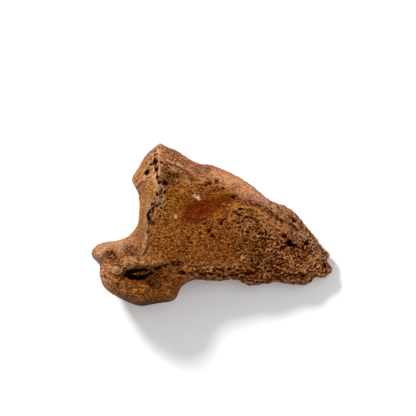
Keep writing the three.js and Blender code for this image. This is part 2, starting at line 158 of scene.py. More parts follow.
WOBBLE = (2.6, 0.45, 13), (1.0, 0.28, 11)  # keeps every line drawn on the bone from running smooth
STRAY = (4.0, 1.0, 71), (1.2, 0.5, 75)  # for the edges of stains


FAR = 9.0  # further than any seed can be


def cells(points, salt):
    """Distances to the nearest and the second nearest seed, and a random number of the nearest."""
    low, share = cell_of(points)
    steps = axis_steps(low, (-1, 0, 1), salt)
    first = np.full(len(points), FAR, np.float32)
    second = first.copy()
    mark = np.zeros(len(points), np.float32)
    for i, j, k in itertools.product(range(3), repeat=3):
        number = steps[0][i] + steps[1][j] + steps[2][k]
        far = np.zeros(len(points), np.float32)
        for axis, step in enumerate((i, j, k)):
            far += (TABLES[axis][number] + (step - 1) - share[:, axis]) ** 2
        nearer = far < first
        second = np.where(nearer, first, np.minimum(second, far))
        mark = np.where(nearer, TABLES[3][number], mark)
        first = np.where(nearer, far, first)
    return np.sqrt(first), np.sqrt(second), mark


# ------------------------ masks over a flank
def ramp(value, low, high):
    """0 up to low, 1 from high on, and smooth between them."""
    share = np.clip((value - low) / (high - low), 0, 1)
    return share * share * (3 - 2 * share)


def blob(x, y, at, half, turn=0):
    """1 at a place, falling off over half sizes that are turned by so many degrees."""
    c, s = math.cos(math.radians(turn)), math.sin(math.radians(turn))
    u = ((x - at[0]) * c + (y - at[1]) * s) / half[0]
    v = ((y - at[1]) * c - (x - at[0]) * s) / half[1]
    return np.exp(-(u * u + v * v))


def line_gap(x, y, line):
    """Distance to a line of points, and the side of it: above 0 on the left of its direction."""
    best = np.full(np.shape(x), 1e9)
    side = np.zeros(np.shape(x))
    for (ax, ay), (bx, by) in zip(line, line[1:]):
        dx, dy = bx - ax, by - ay
        share = np.clip(((x - ax) * dx + (y - ay) * dy) / (dx * dx + dy * dy), 0, 1)
        gap = np.hypot(x - ax - share * dx, y - ay - share * dy)
        nearer = gap < best
        side = np.where(nearer, dx * (y - ay) - dy * (x - ax), side)
        best = np.where(nearer, gap, best)
    return best, np.sign(side)


def beside(x, y, line, half):
    """1 on a line, falling off over half on both sides."""
    return np.exp(-((line_gap(x, y, line)[0] / half) ** 2))


def spots(x, y, places):
    """The sum of blobs, each given by its height, place, half sizes and turn."""
    return sum(height * blob(x, y, at, half, turn) for height, at, half, turn in places)


FADE = 2.5  # half sizes from a line or a blob to where it counts for nothing


def near(x, y, line, half):
    """The numbers of the points that a line or a place with such a half size can reach."""
    low, high = np.min(line, axis=0) - FADE * half, np.max(line, axis=0) + FADE * half
    return np.flatnonzero((x > low[0]) & (x < high[0]) & (y > low[1]) & (y < high[1]))


# ------------------------ the forms of the bone
RIM = [
    (-12.6, 19.6), (-13.1, 17.2), (-13.1, 14.2), (-12.4, 10.8), (-13.4, 8), (-13.2, 5.6),
    (-15.1, 3.9), (-16.2, 2.6), (-15.8, 0.2), (-16.3, -3.2), (-16.8, -6.6),
]
LEDGE = [
    (-22.4, -10.9), (-21.4, -10.4), (-20.4, -10.9), (-19.2, -10.4), (-18, -10.7), (-16.6, -10),
    (-14.6, -9.9),
]
LOWER_LIP = [
    (-22.2, -15.6), (-21.5, -14.7), (-19.6, -13.8), (-18.6, -14.0), (-17.4, -14.9), (-16.2, -15.2),
]
CURL = [(-24.9, -10.4), (-24.7, -11.6), (-23.6, -12.2), (-22.4, -11.6), (-22.1, -10.6)]
JOINT_RIM = [(-18.9, 9.6), (-17.0, 11.7), (-14.9, 12.9), (-14.3, 11.4), (-13.4, 9.6)]
BACK_CREST = [(6.0, 4.7), (10.7, 3.8), (13.3, 1.5), (16.7, -0.7), (19.2, -2.5), (20.7, -4.2)]
ARC_BAND = [(6.5, 3.6), (9.6, 3.6), (12.0, 2.2), (14.0, 0.6), (16.8, -0.4), (18.4, -0.6)]
BACK_GROOVE = [
    (6.4, 6.6), (8.3, 5.9), (11.8, 4.6), (14.6, 2.9), (16.6, 1.2), (19.0, 0.6), (20.8, -1.0),
]
BACK_BAND = [(-11, 17.6), (-6, 14.6), (1, 11.6), (7, 9), (12, 5.6)]
PLUM_LINE = [(14, 5.0), (19, 1.6), (24, -4.0)]  # along the back edge of the tip half
LACE = [(-14.0, 17.6), (-14.1, 15.2), (-13.8, 12.6), (-12.5, 10.2)]
RIM_ROUGH = [(-12.2, 9.6), (-12.7, 7.2), (-12.6, 4.6)]
RIM_CREVICE = [(-14.4, 5.0), (-15.3, 3.6), (-15.6, 1.6), (-15.2, 0.2)]
RIM_FURROW = [(-14.3, 7.4), (-14.1, 5.0), (-14.5, 3.0), (-15.1, 0.6), (-14.9, -1.5), (-15.2, -4.2)]
SLIT_ROW = [(-14.4, -10.6), (-11.6, -10.0), (-8.6, -9.5), (-5, -9.8)]

# Crests and furrows of the upper flank: line, half width, rise.
LINES = [
    (RIM[1:], 0.22, 0.38),
    ([(x + 0.7, y) for x, y in RIM[4:]], 0.35, -0.35),
    (CURL, 0.32, 0.6),
    (BACK_CREST, 0.6, 0.6),
    ([(-25.6, -9.4), (-24.2, -9.8), (-22.9, -9.5), (-22.2, -10.6)], 0.36, -0.6),
    ([(-23.0, -8.6), (-22.0, -7.7), (-20.4, -7.4), (-18.8, -7.9), (-17.6, -8.8)], 0.34, -0.55),
    ([(-20.6, -8.0), (-20.4, -9.0), (-19.8, -9.9)], 0.22, -0.45),
    ([(-22.0, -9.4), (-21.0, -9.0), (-20.8, -8.2)], 0.22, 0.3),
    ([(-19.8, -9.2), (-19.0, -8.4), (-18.2, -8.8)], 0.22, 0.3),
    ([(-16.4, -15.2), (-15.4, -15.9), (-14.3, -17.0)], 0.25, 0.4),
    ([(-20.6, -15.6), (-19.4, -14.9), (-18.2, -15.4)], 0.25, 0.3),
    ([(-14.6, -11.4), (-12, -11.2), (-9.4, -10.8)], 0.24, -0.35),
    ([(-14, -12.4), (-11.6, -12.0), (-9, -12.2)], 0.24, -0.35),
    ([(-12.8, -13.6), (-10.6, -13.1), (-8.8, -13.4)], 0.24, -0.3),
    (BACK_GROOVE, 0.7, -0.5),
    (RIM_CREVICE, 0.55, -0.6),
    ([(-12.3, 13.8), (-11.9, 11.8), (-11.0, 9.6)], 0.45, -0.4),
    ([(-11.5, -10.3), (-7, -10), (-3, -10.6), (2, -11)], 0.35, -0.18),
    ([(-10, -12), (-5, -11.8), (0, -12.2), (7, -12)], 0.35, -0.18),
    ([(-16.0, 14.4), (-15.0, 15.9), (-14.4, 17.0)], 0.22, 0.35),
    (JOINT_RIM, 0.32, 0.36),
    ([(27.6, -9.4), (28.0, -10.4), (27.8, -11.8)], 0.4, -0.4),
    ([(-21.9, -13.2), (-23.6, -14.6), (-24.2, -16.4)], 0.5, -0.3),
    ([(-11.6, -15.2), (-9.6, -15.8), (-8.6, -16.6)], 0.5, -0.3),
    ([(4.6, 2.2), (5.8, 4.0), (7.8, 4.5)], 0.3, 0.45),
    ([(5.6, 1.6), (7.0, 3.2), (8.2, 3.4), (9.2, 2.4)], 0.28, 0.45),
    ([(7.0, 0.8), (7.9, 1.9), (8.8, 1.2)], 0.26, 0.4),
    ([(4.4, 0.6), (5.6, -0.6), (7.4, 0.4)], 0.3, 0.3),
    ([(15.2, 2.6), (17.2, 0.6), (19.5, -1.0), (21.2, -3.0)], 0.28, 0.45),
    ([(16.0, 3.8), (18.6, 1.8), (20.6, -0.4), (22.6, -2.6)], 0.28, 0.4),
    ([(18.6, 0.6), (19.8, 0.4), (21.4, -1.2)], 0.24, 0.35),
    ([(17.6, -0.9), (19.4, -2.2), (20.2, -3.2)], 0.24, 0.35),
]

# Plates of the upper flank that end in a step: edge, height, reach, and on which side they lie.
PLATES = [
    (RIM[3:], 0.25, 1.5, -1),
    (LOWER_LIP, 0.55, 1.0, -1),
    ([(-18.6, -15.6), (-17.2, -16.2), (-15.6, -17.4), (-14.6, -18.6)], 0.3, 1.4, -1),
    (LEDGE, 0.35, 0.8, 1),
]

# Lumps and hollows of the upper flank: place, half sizes, turn, rise.
LUMPS = [
    ((-23.5, -10.9), (1.1, 1.0), 0, 0.75),
    ((-21.2, -9.0), (1.0, 0.9), 10, 0.9),
    ((-19.1, -9.1), (0.9, 0.9), 0, 0.8),
    ((-17.0, -9.3), (0.8, 0.5), 0, 0.35),
    ((-28.0, -7.0), (1.7, 1.3), 20, 0.15),
    ((-26.4, -5.6), (1.4, 0.8), 10, 0.25),
    ((-21.6, -16.2), (0.8, 0.6), 0, 0.35),
    ((-18.6, -15.6), (1.2, 0.5), 20, 0.3),
    ((7, 3), (1.0, 0.8), -30, 0.4),
    ((9.4, 2.2), (1.2, 0.7), -10, 0.35),
    ((5.0, 1.4), (0.9, 0.9), 0, 0.3),
    ((3.2, 2.4), (0.8, 0.5), 20, 0.25),
    ((-12.0, 14.4), (0.6, 1.3), 10, 0.35),
    ((-24.9, -7.5), (1.6, 1.4), 10, -0.95),
    ((-19.8, -6.4), (1.9, 1.5), -15, -0.85),
    ((-22.9, -6.4), (0.9, 1.9), -10, 0.35),
    ((6.6, 0.2), (1.3, 0.8), 20, -0.3),
    ((11, -6), (3.4, 2.2), -20, -0.35),
    ((-22.4, -13.2), (1.4, 0.8), -20, -0.3),
    ((-15.0, -14.5), (1.6, 1.0), -35, -1.1),
    ((-12.4, -13.4), (2.6, 1.4), -10, -0.45),
    ((-10.4, 12.2), (1.6, 1.0), -35, -0.35),
]

# Where the skin is drawn out in fibres: place, half sizes, turn, the way they run, their height.
FIBRES = [
    ((-9.0, 13.2), (3.8, 2.2), -35, -38, 1.5),
    ((-2.0, 10.8), (4.5, 1.2), -10, -12, 0.5),
    ((7.4, 3.4), (4.5, 2.2), -20, -24, 0.9),
    ((-4, -10.8), (9, 2.0), 0, 3, 0.4),
    ((9, -12.5), (10, 2.4), 0, -4, 0.4),
    ((12, 3.4), (6, 2.0), -32, -34, 0.3),
    ((17, -1), (5, 3), -45, -42, 0.3),
]

# Where the upper flank is knotty: height, place, half sizes, turn.
KNOTTY = [
    (1.3, (-20, -9.2), (5, 1.7), 0),
    (0.8, (-18, -16), (7, 3), -14),
    (0.8, (-26.6, -12.4), (2.4, 3.6), 20),
    (1.0, (-14, 7), (1.6, 4), 8),
]

# Lumps and notches of the edge, on both flanks: place, half sizes, turn, rise.
EDGE_LUMPS = [
    ((-12.8, 20.2), (0.7, 0.7), 0, 0.45),
    ((-19.8, 11.4), (1.0, 1.2), 0, 0.2),
    ((29.9, -11.2), (0.9, 0.8), 0, 0.5),
    ((29.2, -7.3), (0.8, 0.7), 0, 0.35),
    ((29.1, -9.0), (0.5, 0.5), 0, -0.5),
    ((26.1, -13.5), (0.6, 0.5), 0, -0.4),
    ((14.0, -15.0), (1.0, 0.8), 0, 0.2),
    ((9.2, -15.0), (0.7, 0.6), 0, 0.2),
    ((17.6, 5.2), (1.4, 0.8), -20, 0.2),
    ((23.2, -13.9), (0.9, 0.8), 0, 0.2),
]

# Holes of the upper flank: place, half sizes, turn, depth.
HOLES = [
    ((-16.2, 12.95), (0.6, 1.0), -28, 1.6),
    ((-15.3, 13.4), (0.35, 0.3), 0, 0.6),
    ((-13.6, 13.8), (0.55, 0.8), -15, 0.9),
    ((-13.6, 12.1), (0.5, 0.55), 0, 0.8),
    ((-13.0, 10.8), (0.42, 0.42), 0, 0.8),
    ((-11.8, 10.3), (0.5, 0.65), -20, 0.8),
    ((-14.1, 15.6), (0.5, 0.85), -10, 1.2),
    ((-15.1, 14.9), (0.32, 0.25), 20, 0.5),
    ((-12.2, 15.5), (0.4, 0.3), 0, 0.4),
    ((-14.2, 17.5), (0.45, 0.3), 0, 0.4),
    ((-1.4, 10.3), (0.7, 0.6), 20, 0.35),
    ((0.9, 10.9), (0.6, 0.75), 10, 0.45),
    ((2.8, 8.95), (0.33, 0.33), 0, 0.7),
    ((5.25, 6.8), (0.3, 0.28), 0, 0.7),
    ((-5.1, 10.95), (0.3, 0.3), 0, 0.4),
    ((-4.85, 8), (0.28, 0.28), 0, 0.4),
    ((-10.7, 6.4), (0.45, 0.25), 0, 0.6),
    ((-10.8, 2.1), (0.3, 0.3), 0, 0.5),
    ((-13.5, 7.4), (0.35, 0.5), 0, 0.5),
    ((-0.75, -1.5), (0.5, 0.36), -20, 0.8),
    ((0.3, -2.7), (0.3, 0.5), 25, 0.8),
    ((-2.1, 0.3), (0.35, 0.3), 0, 0.5),
    ((4.1, -0.9), (0.4, 0.3), 0, 0.5),
    ((2.6, 0.9), (0.35, 0.7), -15, 0.4),
    ((7.2, 3.9), (0.7, 0.22), -35, 0.7),
    ((8.3, 2.3), (0.6, 0.24), -40, 0.7),
    ((6.3, 2.7), (0.5, 0.2), -50, 0.6),
    ((19.5, -4.45), (1.0, 0.95), 20, 2.4),
    ((20.3, -5.2), (0.7, 0.5), -30, 1.4),
    ((17.9, -2.7), (0.45, 0.4), 0, 1.2),
    ((17.55, -5.6), (0.5, 0.45), 0, 1.2),
    ((23.6, -4.55), (0.5, 0.5), 0, 1.2),
    ((20.4, 1.15), (0.5, 0.4), 0, 1.0),
    ((22.6, -12.8), (0.5, 0.35), 0, 1.0),
    ((8.8, -12.2), (0.75, 0.3), 0, 0.8),
    ((-13.7, -10.6), (0.9, 0.32), 12, 1.1),
    ((-11.7, -9.9), (0.6, 0.26), 15, 1.0),
    ((-8.5, -9.1), (0.7, 0.22), 8, 0.7),
    ((-7.3, -11.8), (0.5, 0.42), 0, 1.0),
    ((-15.0, -14.9), (0.5, 0.45), 0, 0.9),
    ((-11.4, -13.2), (0.4, 0.3), 0, 0.5),
    ((28.2, -10.4), (0.45, 0.8), 12, 0.9),
]

# The sinew hole of the upper flank, cut as holes that run together: place, half sizes, turn, depth.
SINEW_SLITS = [
    ((-17.8, -11.2), (2.7, 0.75), 8, 3.4),
    ((-17.9, -12.8), (2.4, 0.8), 6, 3.8),
    ((-20.1, -12.1), (1.6, 1.2), 12, 3.2),
    ((-15.4, -11.6), (0.7, 0.9), 0, 2.0),
]

# The strut across it has two bars that part and meet again, and thin bone between them: the ends of
# the hole's rim, and the bars' places with how deep each lies under the line between those ends.
SINEW_RIM = [(-21.8, -10.0), (-13.6, -11.2)]
UPPER_BAR = [
    (-20.6, -12.3, 2.6), (-19.5, -12.1, 0.5), (-17.9, -11.6, 0.1), (-16.0, -11.3, 0.15),
    (-14.8, -11.0, 1.0),
]
LOWER_BAR = [
    (-20.6, -12.3, 2.6), (-19.5, -12.1, 0.5), (-17.6, -12.4, 0.1), (-16.0, -11.9, 0.15),
    (-14.8, -11.0, 1.0),
]
BAR_RADIUS = 0.15
WEB_RADIUS = 0.22
WEB_DROP = 0.3  # how much deeper the bone between the bars lies
STRUT_REACH = 5.4  # from the bars' second place to further than their ends

# Holes of the lower flank.
LOWER_HOLES = [
    ((-16.9, -11.5), (1.9, 0.8), 0, 3.0),
    ((-13.4, -10.4), (0.7, 0.3), 10, 0.9),
    ((-15.2, 12.4), (0.7, 0.55), 30, 1.4),
    ((-13.2, 14.4), (0.4, 0.5), 0, 0.9),
    ((-12.4, 11.2), (0.45, 0.4), 0, 0.9),
    ((17.4, -6.2), (0.8, 0.7), 0, 1.6),
    ((22.4, -9.4), (0.7, 0.6), 0, 1.3),
    ((19.6, -2.2), (0.45, 0.4), 0, 0.9),
    ((3.6, 9.4), (0.6, 0.45), 0, 0.9),
    ((1.2, 10.8), (0.35, 0.35), 0, 0.6),
    ((-2.4, -3), (0.4, 0.35), 0, 0.7),
    ((6.4, -11.8), (0.8, 0.3), 0, 0.8),
    ((-6, -10.8), (0.8, 0.35), 6, 0.9),
]


# ------------------------ the level set of the solid
VOXEL = 0.16
BAND = 9  # voxels on either side of the skin that hold a true distance
MARGIN = 2  # voxels of air round that
SPREAD = 0.08  # makes up for what the rounding of the facets takes off
ROUNDING = 2  # levels of subdivision
HIGH_ABOVE = 20.0  # a height over the bone's middle that is clear of its skin


def rounded_solid(node):
    """The node's solid with its facets rounded, as points in millimetres and four-sided faces."""
    mesh = bmesh.new()
    mesh.from_mesh(node.data)
    bmesh.ops.remove_doubles(mesh, verts=mesh.verts, dist=1e-6)
    data = bpy.data.meshes.new("rounded")
    mesh.to_mesh(data)
    mesh.free()
    holder = added("rounded", data)
    holder.modifiers.new("round", "SUBSURF").levels = ROUNDING
    final = holder.evaluated_get(bpy.context.evaluated_depsgraph_get()).to_mesh()
    points = np.empty(len(final.vertices) * 3, np.float32)
    final.vertices.foreach_get("co", points)
    faces = np.empty(len(final.polygons) * 4, np.int32)
    final.polygons.foreach_get("vertices", faces)
    bpy.data.objects.remove(holder)
    return points.reshape(-1, 3) / MM, faces.reshape(-1, 4)


def level_set(points, faces):
    """Distances from the skin, below 0 in the bone, and the index of the first voxel."""
    scale = openvdb.createLinearTransform(voxelSize=VOXEL)
    grid = openvdb.FloatGrid.createLevelSetFromPolygons(
        points, quads=faces.astype(np.uint32), transform=scale, halfWidth=BAND
    )
    low = np.floor(points.min(0) / VOXEL).astype(int) - BAND - MARGIN
    high = np.ceil(points.max(0) / VOXEL).astype(int) + BAND + MARGIN
    values = np.empty(high - low, np.float32)
    grid.copyToArray(values, ijk=tuple(int(v) for v in low))
    return values - SPREAD, low


class Carving:
    """The level set as an array, with the tools that carve it."""

    def __init__(self, node):
        points, faces = rounded_solid(node)
        self.skin = BVHTree.FromPolygons(points.tolist(), faces.tolist())
        self.values, self.low = level_set(points, faces)

    def places(self, index):
        return to_bone((index + self.low) * VOXEL).astype(np.float32)

    def band(self, reach):
        """Indices and places of the voxels within reach of the skin."""
        index = np.argwhere(np.abs(self.values) < reach)
        return index, self.places(index)

    def shift(self, index, amount):
        self.values[tuple(index.T)] += amount

    def block(self, centre, reach):
        """Indices and places of the voxels of a block round a place in the bone's frame."""
        at = to_frame(centre) / VOXEL - self.low
        low = np.maximum(np.floor(at - reach / VOXEL).astype(int), 0)
        high = np.minimum(np.ceil(at + reach / VOXEL).astype(int), self.values.shape)
        index = np.stack(np.meshgrid(*map(np.arange, low, high), indexing="ij"), -1).reshape(-1, 3)
        return index, self.places(index)

    def cut(self, index, shape):
        """Takes away a shape given by distances from its skin."""
        where = tuple(index.T)
        self.values[where] = np.maximum(self.values[where], -shape)

    def join(self, index, shape):
        """Adds a shape given in the same way."""
        where = tuple(index.T)
        self.values[where] = np.minimum(self.values[where], shape)

    def surface(self, x, y, side):
        """The height of the skin of a flank at a place: side is 1 for the upper one, else -1."""
        start = to_frame([x, y, side * HIGH_ABOVE])
        hit, _, _, _ = self.skin.ray_cast(Vector(start), TURN @ Vector((0, 0, -side)))
        return to_bone(np.array(hit))[2]

    def bulge(self, reach):
        """How far the skin stands out over what is round it: above 0 on crests."""
        mean = self.values
        steps = range(-reach, reach + 1)
        for axis in (0, 1, 2, 0, 1, 2):
            mean = sum(np.roll(mean, step, axis) for step in steps) / len(steps)
        return mean - self.values

    def sample(self, points, values):
        """Values at points of the frame, in millimetres."""
        at = points / VOXEL - self.low
        low = np.floor(at).astype(int)
        share = at - low
        total = np.zeros(len(points))
        for corner in itertools.product((0, 1), repeat=3):
            weight = np.prod(np.where(corner, share, 1 - share), axis=1)
            total += weight * values[tuple((low + corner).T)]
        return total


# ------------------------ where the bone is spongy or porous
def spongy(x, y):
    """How far the outer skin is gone: all over the tip half, and in a band along the belly."""
    to_tip = ramp(x + 0.25 * y, 3, 11)
    belly = ramp(-y, 8.5, 11.5) * ramp(x, -8, -3)
    back, _ = line_gap(x, y, BACK_BAND)
    sound = (1 - ramp(back, 1.6, 3.4)) * (1 - ramp(x, 12, 17))
    sound = np.maximum(sound, 0.75 * beside(x, y, ARC_BAND, 1.9))
    return np.maximum(to_tip, belly) * (1 - 0.85 * sound)


# Lines of worn-through skin on the upper flank: line, half width, openness.
WORN_LINES = [
    (LACE, 1.3, 0.9),
    (RIM_ROUGH, 1.0, 0.85),
    (RIM_CREVICE, 1.0, 1.0),
    (SLIT_ROW, 0.6, 0.35),
    (BACK_GROOVE[1:], 0.5, 0.5),
]


def worn(x, y, side):
    """How far small places of the upper flank are worn through."""
    openness = np.zeros(len(x), np.float32)
    for line, half, most in WORN_LINES:
        close = near(x, y, line, half)
        gap, _ = line_gap(x[close], y[close], line)
        openness[close] = np.maximum(openness[close], most * np.exp(-((gap / half) ** 4)))
    return openness * ramp(side, 0.4, 1.6)


def porous(x, y):
    """Where the skin is whole but full of pores: the lower half of the middle of the flanks."""
    flank = ramp(x, -15.5, -13) * ramp(-y - 0.2 * x, -3.2, 0.5)
    knob = 0.8 * blob(x, y, (-15.8, -15.4), (6.5, 3.2), -14)
    return np.maximum(np.maximum(flank, knob), blob(x, y, (6.5, 3.2), (4.0, 2.6), -15))


def flow_rank(x, y):
    """Rises from the belly edge to the back edge, along whose lines the tissue runs."""
    back_y = 15.5 - 0.72 * np.maximum(x + 2, 0)
    return (y + 15) * np.minimum(22 / (back_y + 17), 1.5)


FORM_REACH = 1.1  # how far from the skin its forms change the level set
STEP = -0.15, 0.2  # where a plate's edge rises, across the line
# The noise of the skin: how much it raises, and its size.
KNOTS = 0.42, 0.85
UNEVENNESS = 0.2, 2.2
GRAIN = 0.1, 0.62
FILAMENTS = 0.17, (2.4, 0.5, 1.2)  # along, across and through the tissue's flow
FIBRE = (2.2, 0.5, 1.2)  # the size of the drawn-out fibres, in the same way
# Crests fade out between these heights over the solid's top, to keep the bone within its size.
CREST_FADE = -0.2, 0.6


def along_flow(x, y, z, size):
    """Places in units of a size along, across and through the flow of the tissue."""
    return np.stack([x / size[0], flow_rank(x, y) / size[1], z / size[2]], axis=1)


def carve_forms(carving):
    index, place = carving.band(FORM_REACH)
    x, y, z = place.T
    side = z - middle(x)
    wx, wy, _ = warped(place, *WOBBLE).T
    upper = ramp(side, 0.6, 2.0)
    rise = np.zeros(len(place), np.float32)
    for line, half, height in LINES:
        close = near(wx, wy, line, half)
        gap, _ = line_gap(wx[close], wy[close], line)
        rise[close] += height * np.exp(-((gap / half) ** 2))
    for at, half, turn, height in LUMPS:
        close = near(wx, wy, [at], max(half))
        rise[close] += height * blob(wx[close], wy[close], at, half, turn)
    for line, height, reach, plate_side in PLATES:
        close = near(wx, wy, line, reach)
        gap, line_side = line_gap(wx[close], wy[close], line)
        inward = gap * line_side * plate_side
        rise[close] += height * ramp(inward, *STEP) * np.exp(-((inward / reach) ** 2))
    rise *= upper
    for at, half, turn, run, height in FIBRES:
        close = near(x, y, [at], max(half))
        c, s = math.cos(math.radians(run)), math.sin(math.radians(run))
        cx, cy, cz = place[close].T
        drawn = np.stack([cx * c + cy * s, cy * c - cx * s, cz], axis=1) / np.float32(FIBRE)
        rise[close] += height * blob(cx, cy, at, half, turn) * smooth_noise(drawn, 1, 51)
    for at, half, turn, height in EDGE_LUMPS:
        close = near(x, y, [at], max(half))
        rise[close] += height * blob(x[close], y[close], at, half, turn)
    rise += KNOTS[0] * spots(x, y, KNOTTY) * smooth_noise(place, KNOTS[1], 27) * upper
    uneven = UNEVENNESS[0] * rough_noise(place, UNEVENNESS[1], 21)
    rise += uneven + GRAIN[0] * smooth_noise(place, GRAIN[1], 25)
    drawn = along_flow(x, y, z, FILAMENTS[1])
    rise += FILAMENTS[0] * spongy(x, y) * smooth_noise(drawn, 1, 61)
    over_solid = (index[:, 2] + carving.low[2]) * VOXEL - solid_box[1][2] / MM
    rise[rise > 0] *= (1 - ramp(over_solid, *CREST_FADE))[rise > 0]
    carving.shift(index, -rise)


HOLE_MARGIN = 0.6  # how far round a hole the level set is cut


def carve_holes(carving, holes, side):
    for (x, y), half, turn, depth in holes:
        centre = (x, y, carving.surface(x, y, side))
        index, place = carving.block(centre, max(*half, depth) + HOLE_MARGIN)
        wobbly = warped(place, (0.8, 0.3, 31))
        c, s = math.cos(math.radians(turn)), math.sin(math.radians(turn))
        dx, dy, dz = (wobbly - centre).T
        u = (dx * c + dy * s) / half[0]
        v = (dy * c - dx * s) / half[1]
        w = dz / depth
        carving.cut(index, (np.sqrt(u * u + v * v + w * w) - 1) * min(half))


def add_struts(carving):
    rim = [carving.surface(x, y, 1) for x, y in SINEW_RIM]
    rim_x = [x for x, _ in SINEW_RIM]
    upper, lower = (
        [np.array([x, y, np.interp(x, rim_x, rim) - depth]) for x, y, depth in bar]
        for bar in (UPPER_BAR, LOWER_BAR)
    )
    web = [(a + b) / 2 - (0, 0, WEB_DROP) for a, b in zip(upper, lower)][1:-1]
    for line, radius in [(upper, BAR_RADIUS), (lower, BAR_RADIUS), (web, WEB_RADIUS)]:
        index, place = carving.block(line[1], STRUT_REACH)
        wobbly = warped(place, (0.8, 0.12, 41))
        for start, end in zip(line, line[1:]):
            along = end - start
            share = np.clip((wobbly - start) @ along / (along @ along), 0, 1)
            gap = np.linalg.norm(wobbly - start - share[:, None] * along, axis=1)
            carving.join(index, gap - radius)


TISSUE_REACH = 1.2  # how far from the skin the open tissue changes the level set
# Layers of open cells: their size along, across and through the tissue's flow, depth and salt.
TIP_CELLS = (1.2, 0.75, 0.8), 0.7, 1
BELLY_CELLS = (2.2, 0.65, 0.7), 0.6, 2
PORES = (0.75, 0.6, 0.6), 0.45, 3
LACE_CELLS = (0.75, 0.8, 0.9), 0.7, 4
LEAST_OPEN = 0.1  # the openness below which no cell shows
WALL = 0.7  # the share of a cell that its walls take where openness is 0
WALL_LOSS = 0.56  # and by how much less it is where openness is 1
FURROW = 0.2  # how far the skin sinks beside the walls
SHALLOWEST = 0.2  # the share of the depth that the shallowest cell has


def carve_cells(carving, index, place, openness, size, depth, salt):
    """Opens cells under the skin: none where openness is 0, all but their walls where it is 1."""
    x, y, z = place.T
    flow = along_flow(x, y, z, size).astype(np.float32)
    first, second, mark = cells(warped(flow, (1.4, 0.4, salt)), salt)
    wall = second - first
    hollow = (wall - (WALL - WALL_LOSS * openness)) * min(size) / 2
    where = tuple(index.T)
    bone = carving.values[where]
    floor = bone + depth * (SHALLOWEST + (1 - SHALLOWEST) * mark)
    furrow = FURROW * np.sqrt(openness) * ramp(wall, 0, 0.4)
    carving.values[where] = np.maximum(bone + furrow, np.minimum(hollow, floor))


def carve_tissue(carving):
    """Spongy tissue towards the tip and the belly, and pores in the middle of the flanks."""
    index, place = carving.band(TISSUE_REACH)
    x, y, z = place.T
    side = z - middle(x)
    patches = 0.5 + 0.5 * smooth_noise(place, 2.2, 81)
    ragged = 1 + 0.7 * smooth_noise(place, 0.45, 83)
    plum, _ = line_gap(x, y, PLUM_LINE)
    gone = spongy(x, y) * (0.4 + 0.6 * patches) * (0.8 + 0.2 * ramp(plum, 1.2, 3.6))
    open_skin = porous(x, y) * (0.3 + 0.5 * patches) * (1 - gone)
    belly = ramp(-y - 0.12 * x, 8.5, 11.5) * gone
    lacy = worn(x, y, side)
    for layer, openness in [
        (TIP_CELLS, gone * (1 - 0.5 * belly)),
        (BELLY_CELLS, belly * (0.4 + 0.45 * ramp(x, 2, 12))),
        (PORES, np.minimum(ragged * (open_skin + 0.35 * gone), 1)),
        (LACE_CELLS, lacy),
    ]:
        found = openness > LEAST_OPEN
        carve_cells(carving, index[found], place[found], openness[found], *layer)


def rest_on_floor(carving):
    """Cuts off what the carving has raised under the floor."""
    height = (np.arange(carving.values.shape[2]) + carving.low[2]) * VOXEL
    carving.values = np.maximum(carving.values, -height.astype(np.float32))


# ------------------------ the mesh of the carved bone
TRIANGLES = 194000


def largest_part(points, faces):
    """Drops the crumbs that the carving has cut loose."""
    label = np.arange(len(points))
    corners = [faces[:, i] for i in range(faces.shape[1])]
    while True:
        least = np.minimum.reduce([label[c] for c in corners])
        fresh = label.copy()
        for c in corners:
            np.minimum.at(fresh, c, least)
        fresh = fresh[fresh]
        if np.array_equal(fresh, label):
            break
        label = fresh
    main = np.bincount(label).argmax()
    kept = label == main
    number = np.cumsum(kept) - 1
    return points[kept], number[faces[kept[faces[:, 0]]]]


def bone_mesh(carving):
    grid = openvdb.FloatGrid(BAND * VOXEL)
    grid.transform = openvdb.createLinearTransform(voxelSize=VOXEL)
    grid.copyFromArray(carving.values, ijk=tuple(int(v) for v in carving.low))
    points, faces = grid.convertToQuads(isovalue=0)
    points, faces = largest_part(points, faces.astype(np.int64))
    data = bpy.data.meshes.new("claw_skin")
    data.from_pydata((points * MM).tolist(), [], faces[:, ::-1].tolist())
    return data


def thinned(piece, triangles):
    """The piece's mesh with its flat stretches in larger triangles."""
    count = sum(len(p.vertices) - 2 for p in piece.data.polygons)
    thin = piece.modifiers.new("thin", "DECIMATE")
    thin.ratio = triangles / count
    final = piece.evaluated_get(bpy.context.evaluated_depsgraph_get())
    data = bpy.data.meshes.new_from_object(final)
    piece.modifiers.clear()
    return data


# ------------------------ masks for the finish
# Pale chips stuck in the skin of the upper flank: place, half sizes, turn, and how pale they are.
FLECKS = [
    ((-3.9, 7.0), (1.05, 0.5), -30, 0.95),
    ((-9.0, 2.0), (0.35, 0.5), 30, 0.55),
    ((7.55, -8.0), (0.6, 0.5), 20, 0.5),
    ((11.4, -2.6), (0.45, 0.15), 0, 0.7),
    ((21.3, -10.0), (0.36, 0.34), 0, 1.0),
    ((16.1, -9.1), (0.35, 0.3), 0, 0.35),
    ((26.5, -10.0), (0.3, 0.4), 0, 0.35),
    ((-21.6, -16.2), (0.45, 0.4), 0, 0.45),
    ((-6.1, 10.5), (0.6, 0.4), 0, 0.4),
]
FLECK_EDGE = 0.37  # the height of a blob at its half size
FLECK_WOBBLE = 0.3  # the share of the wobble that their outlines take

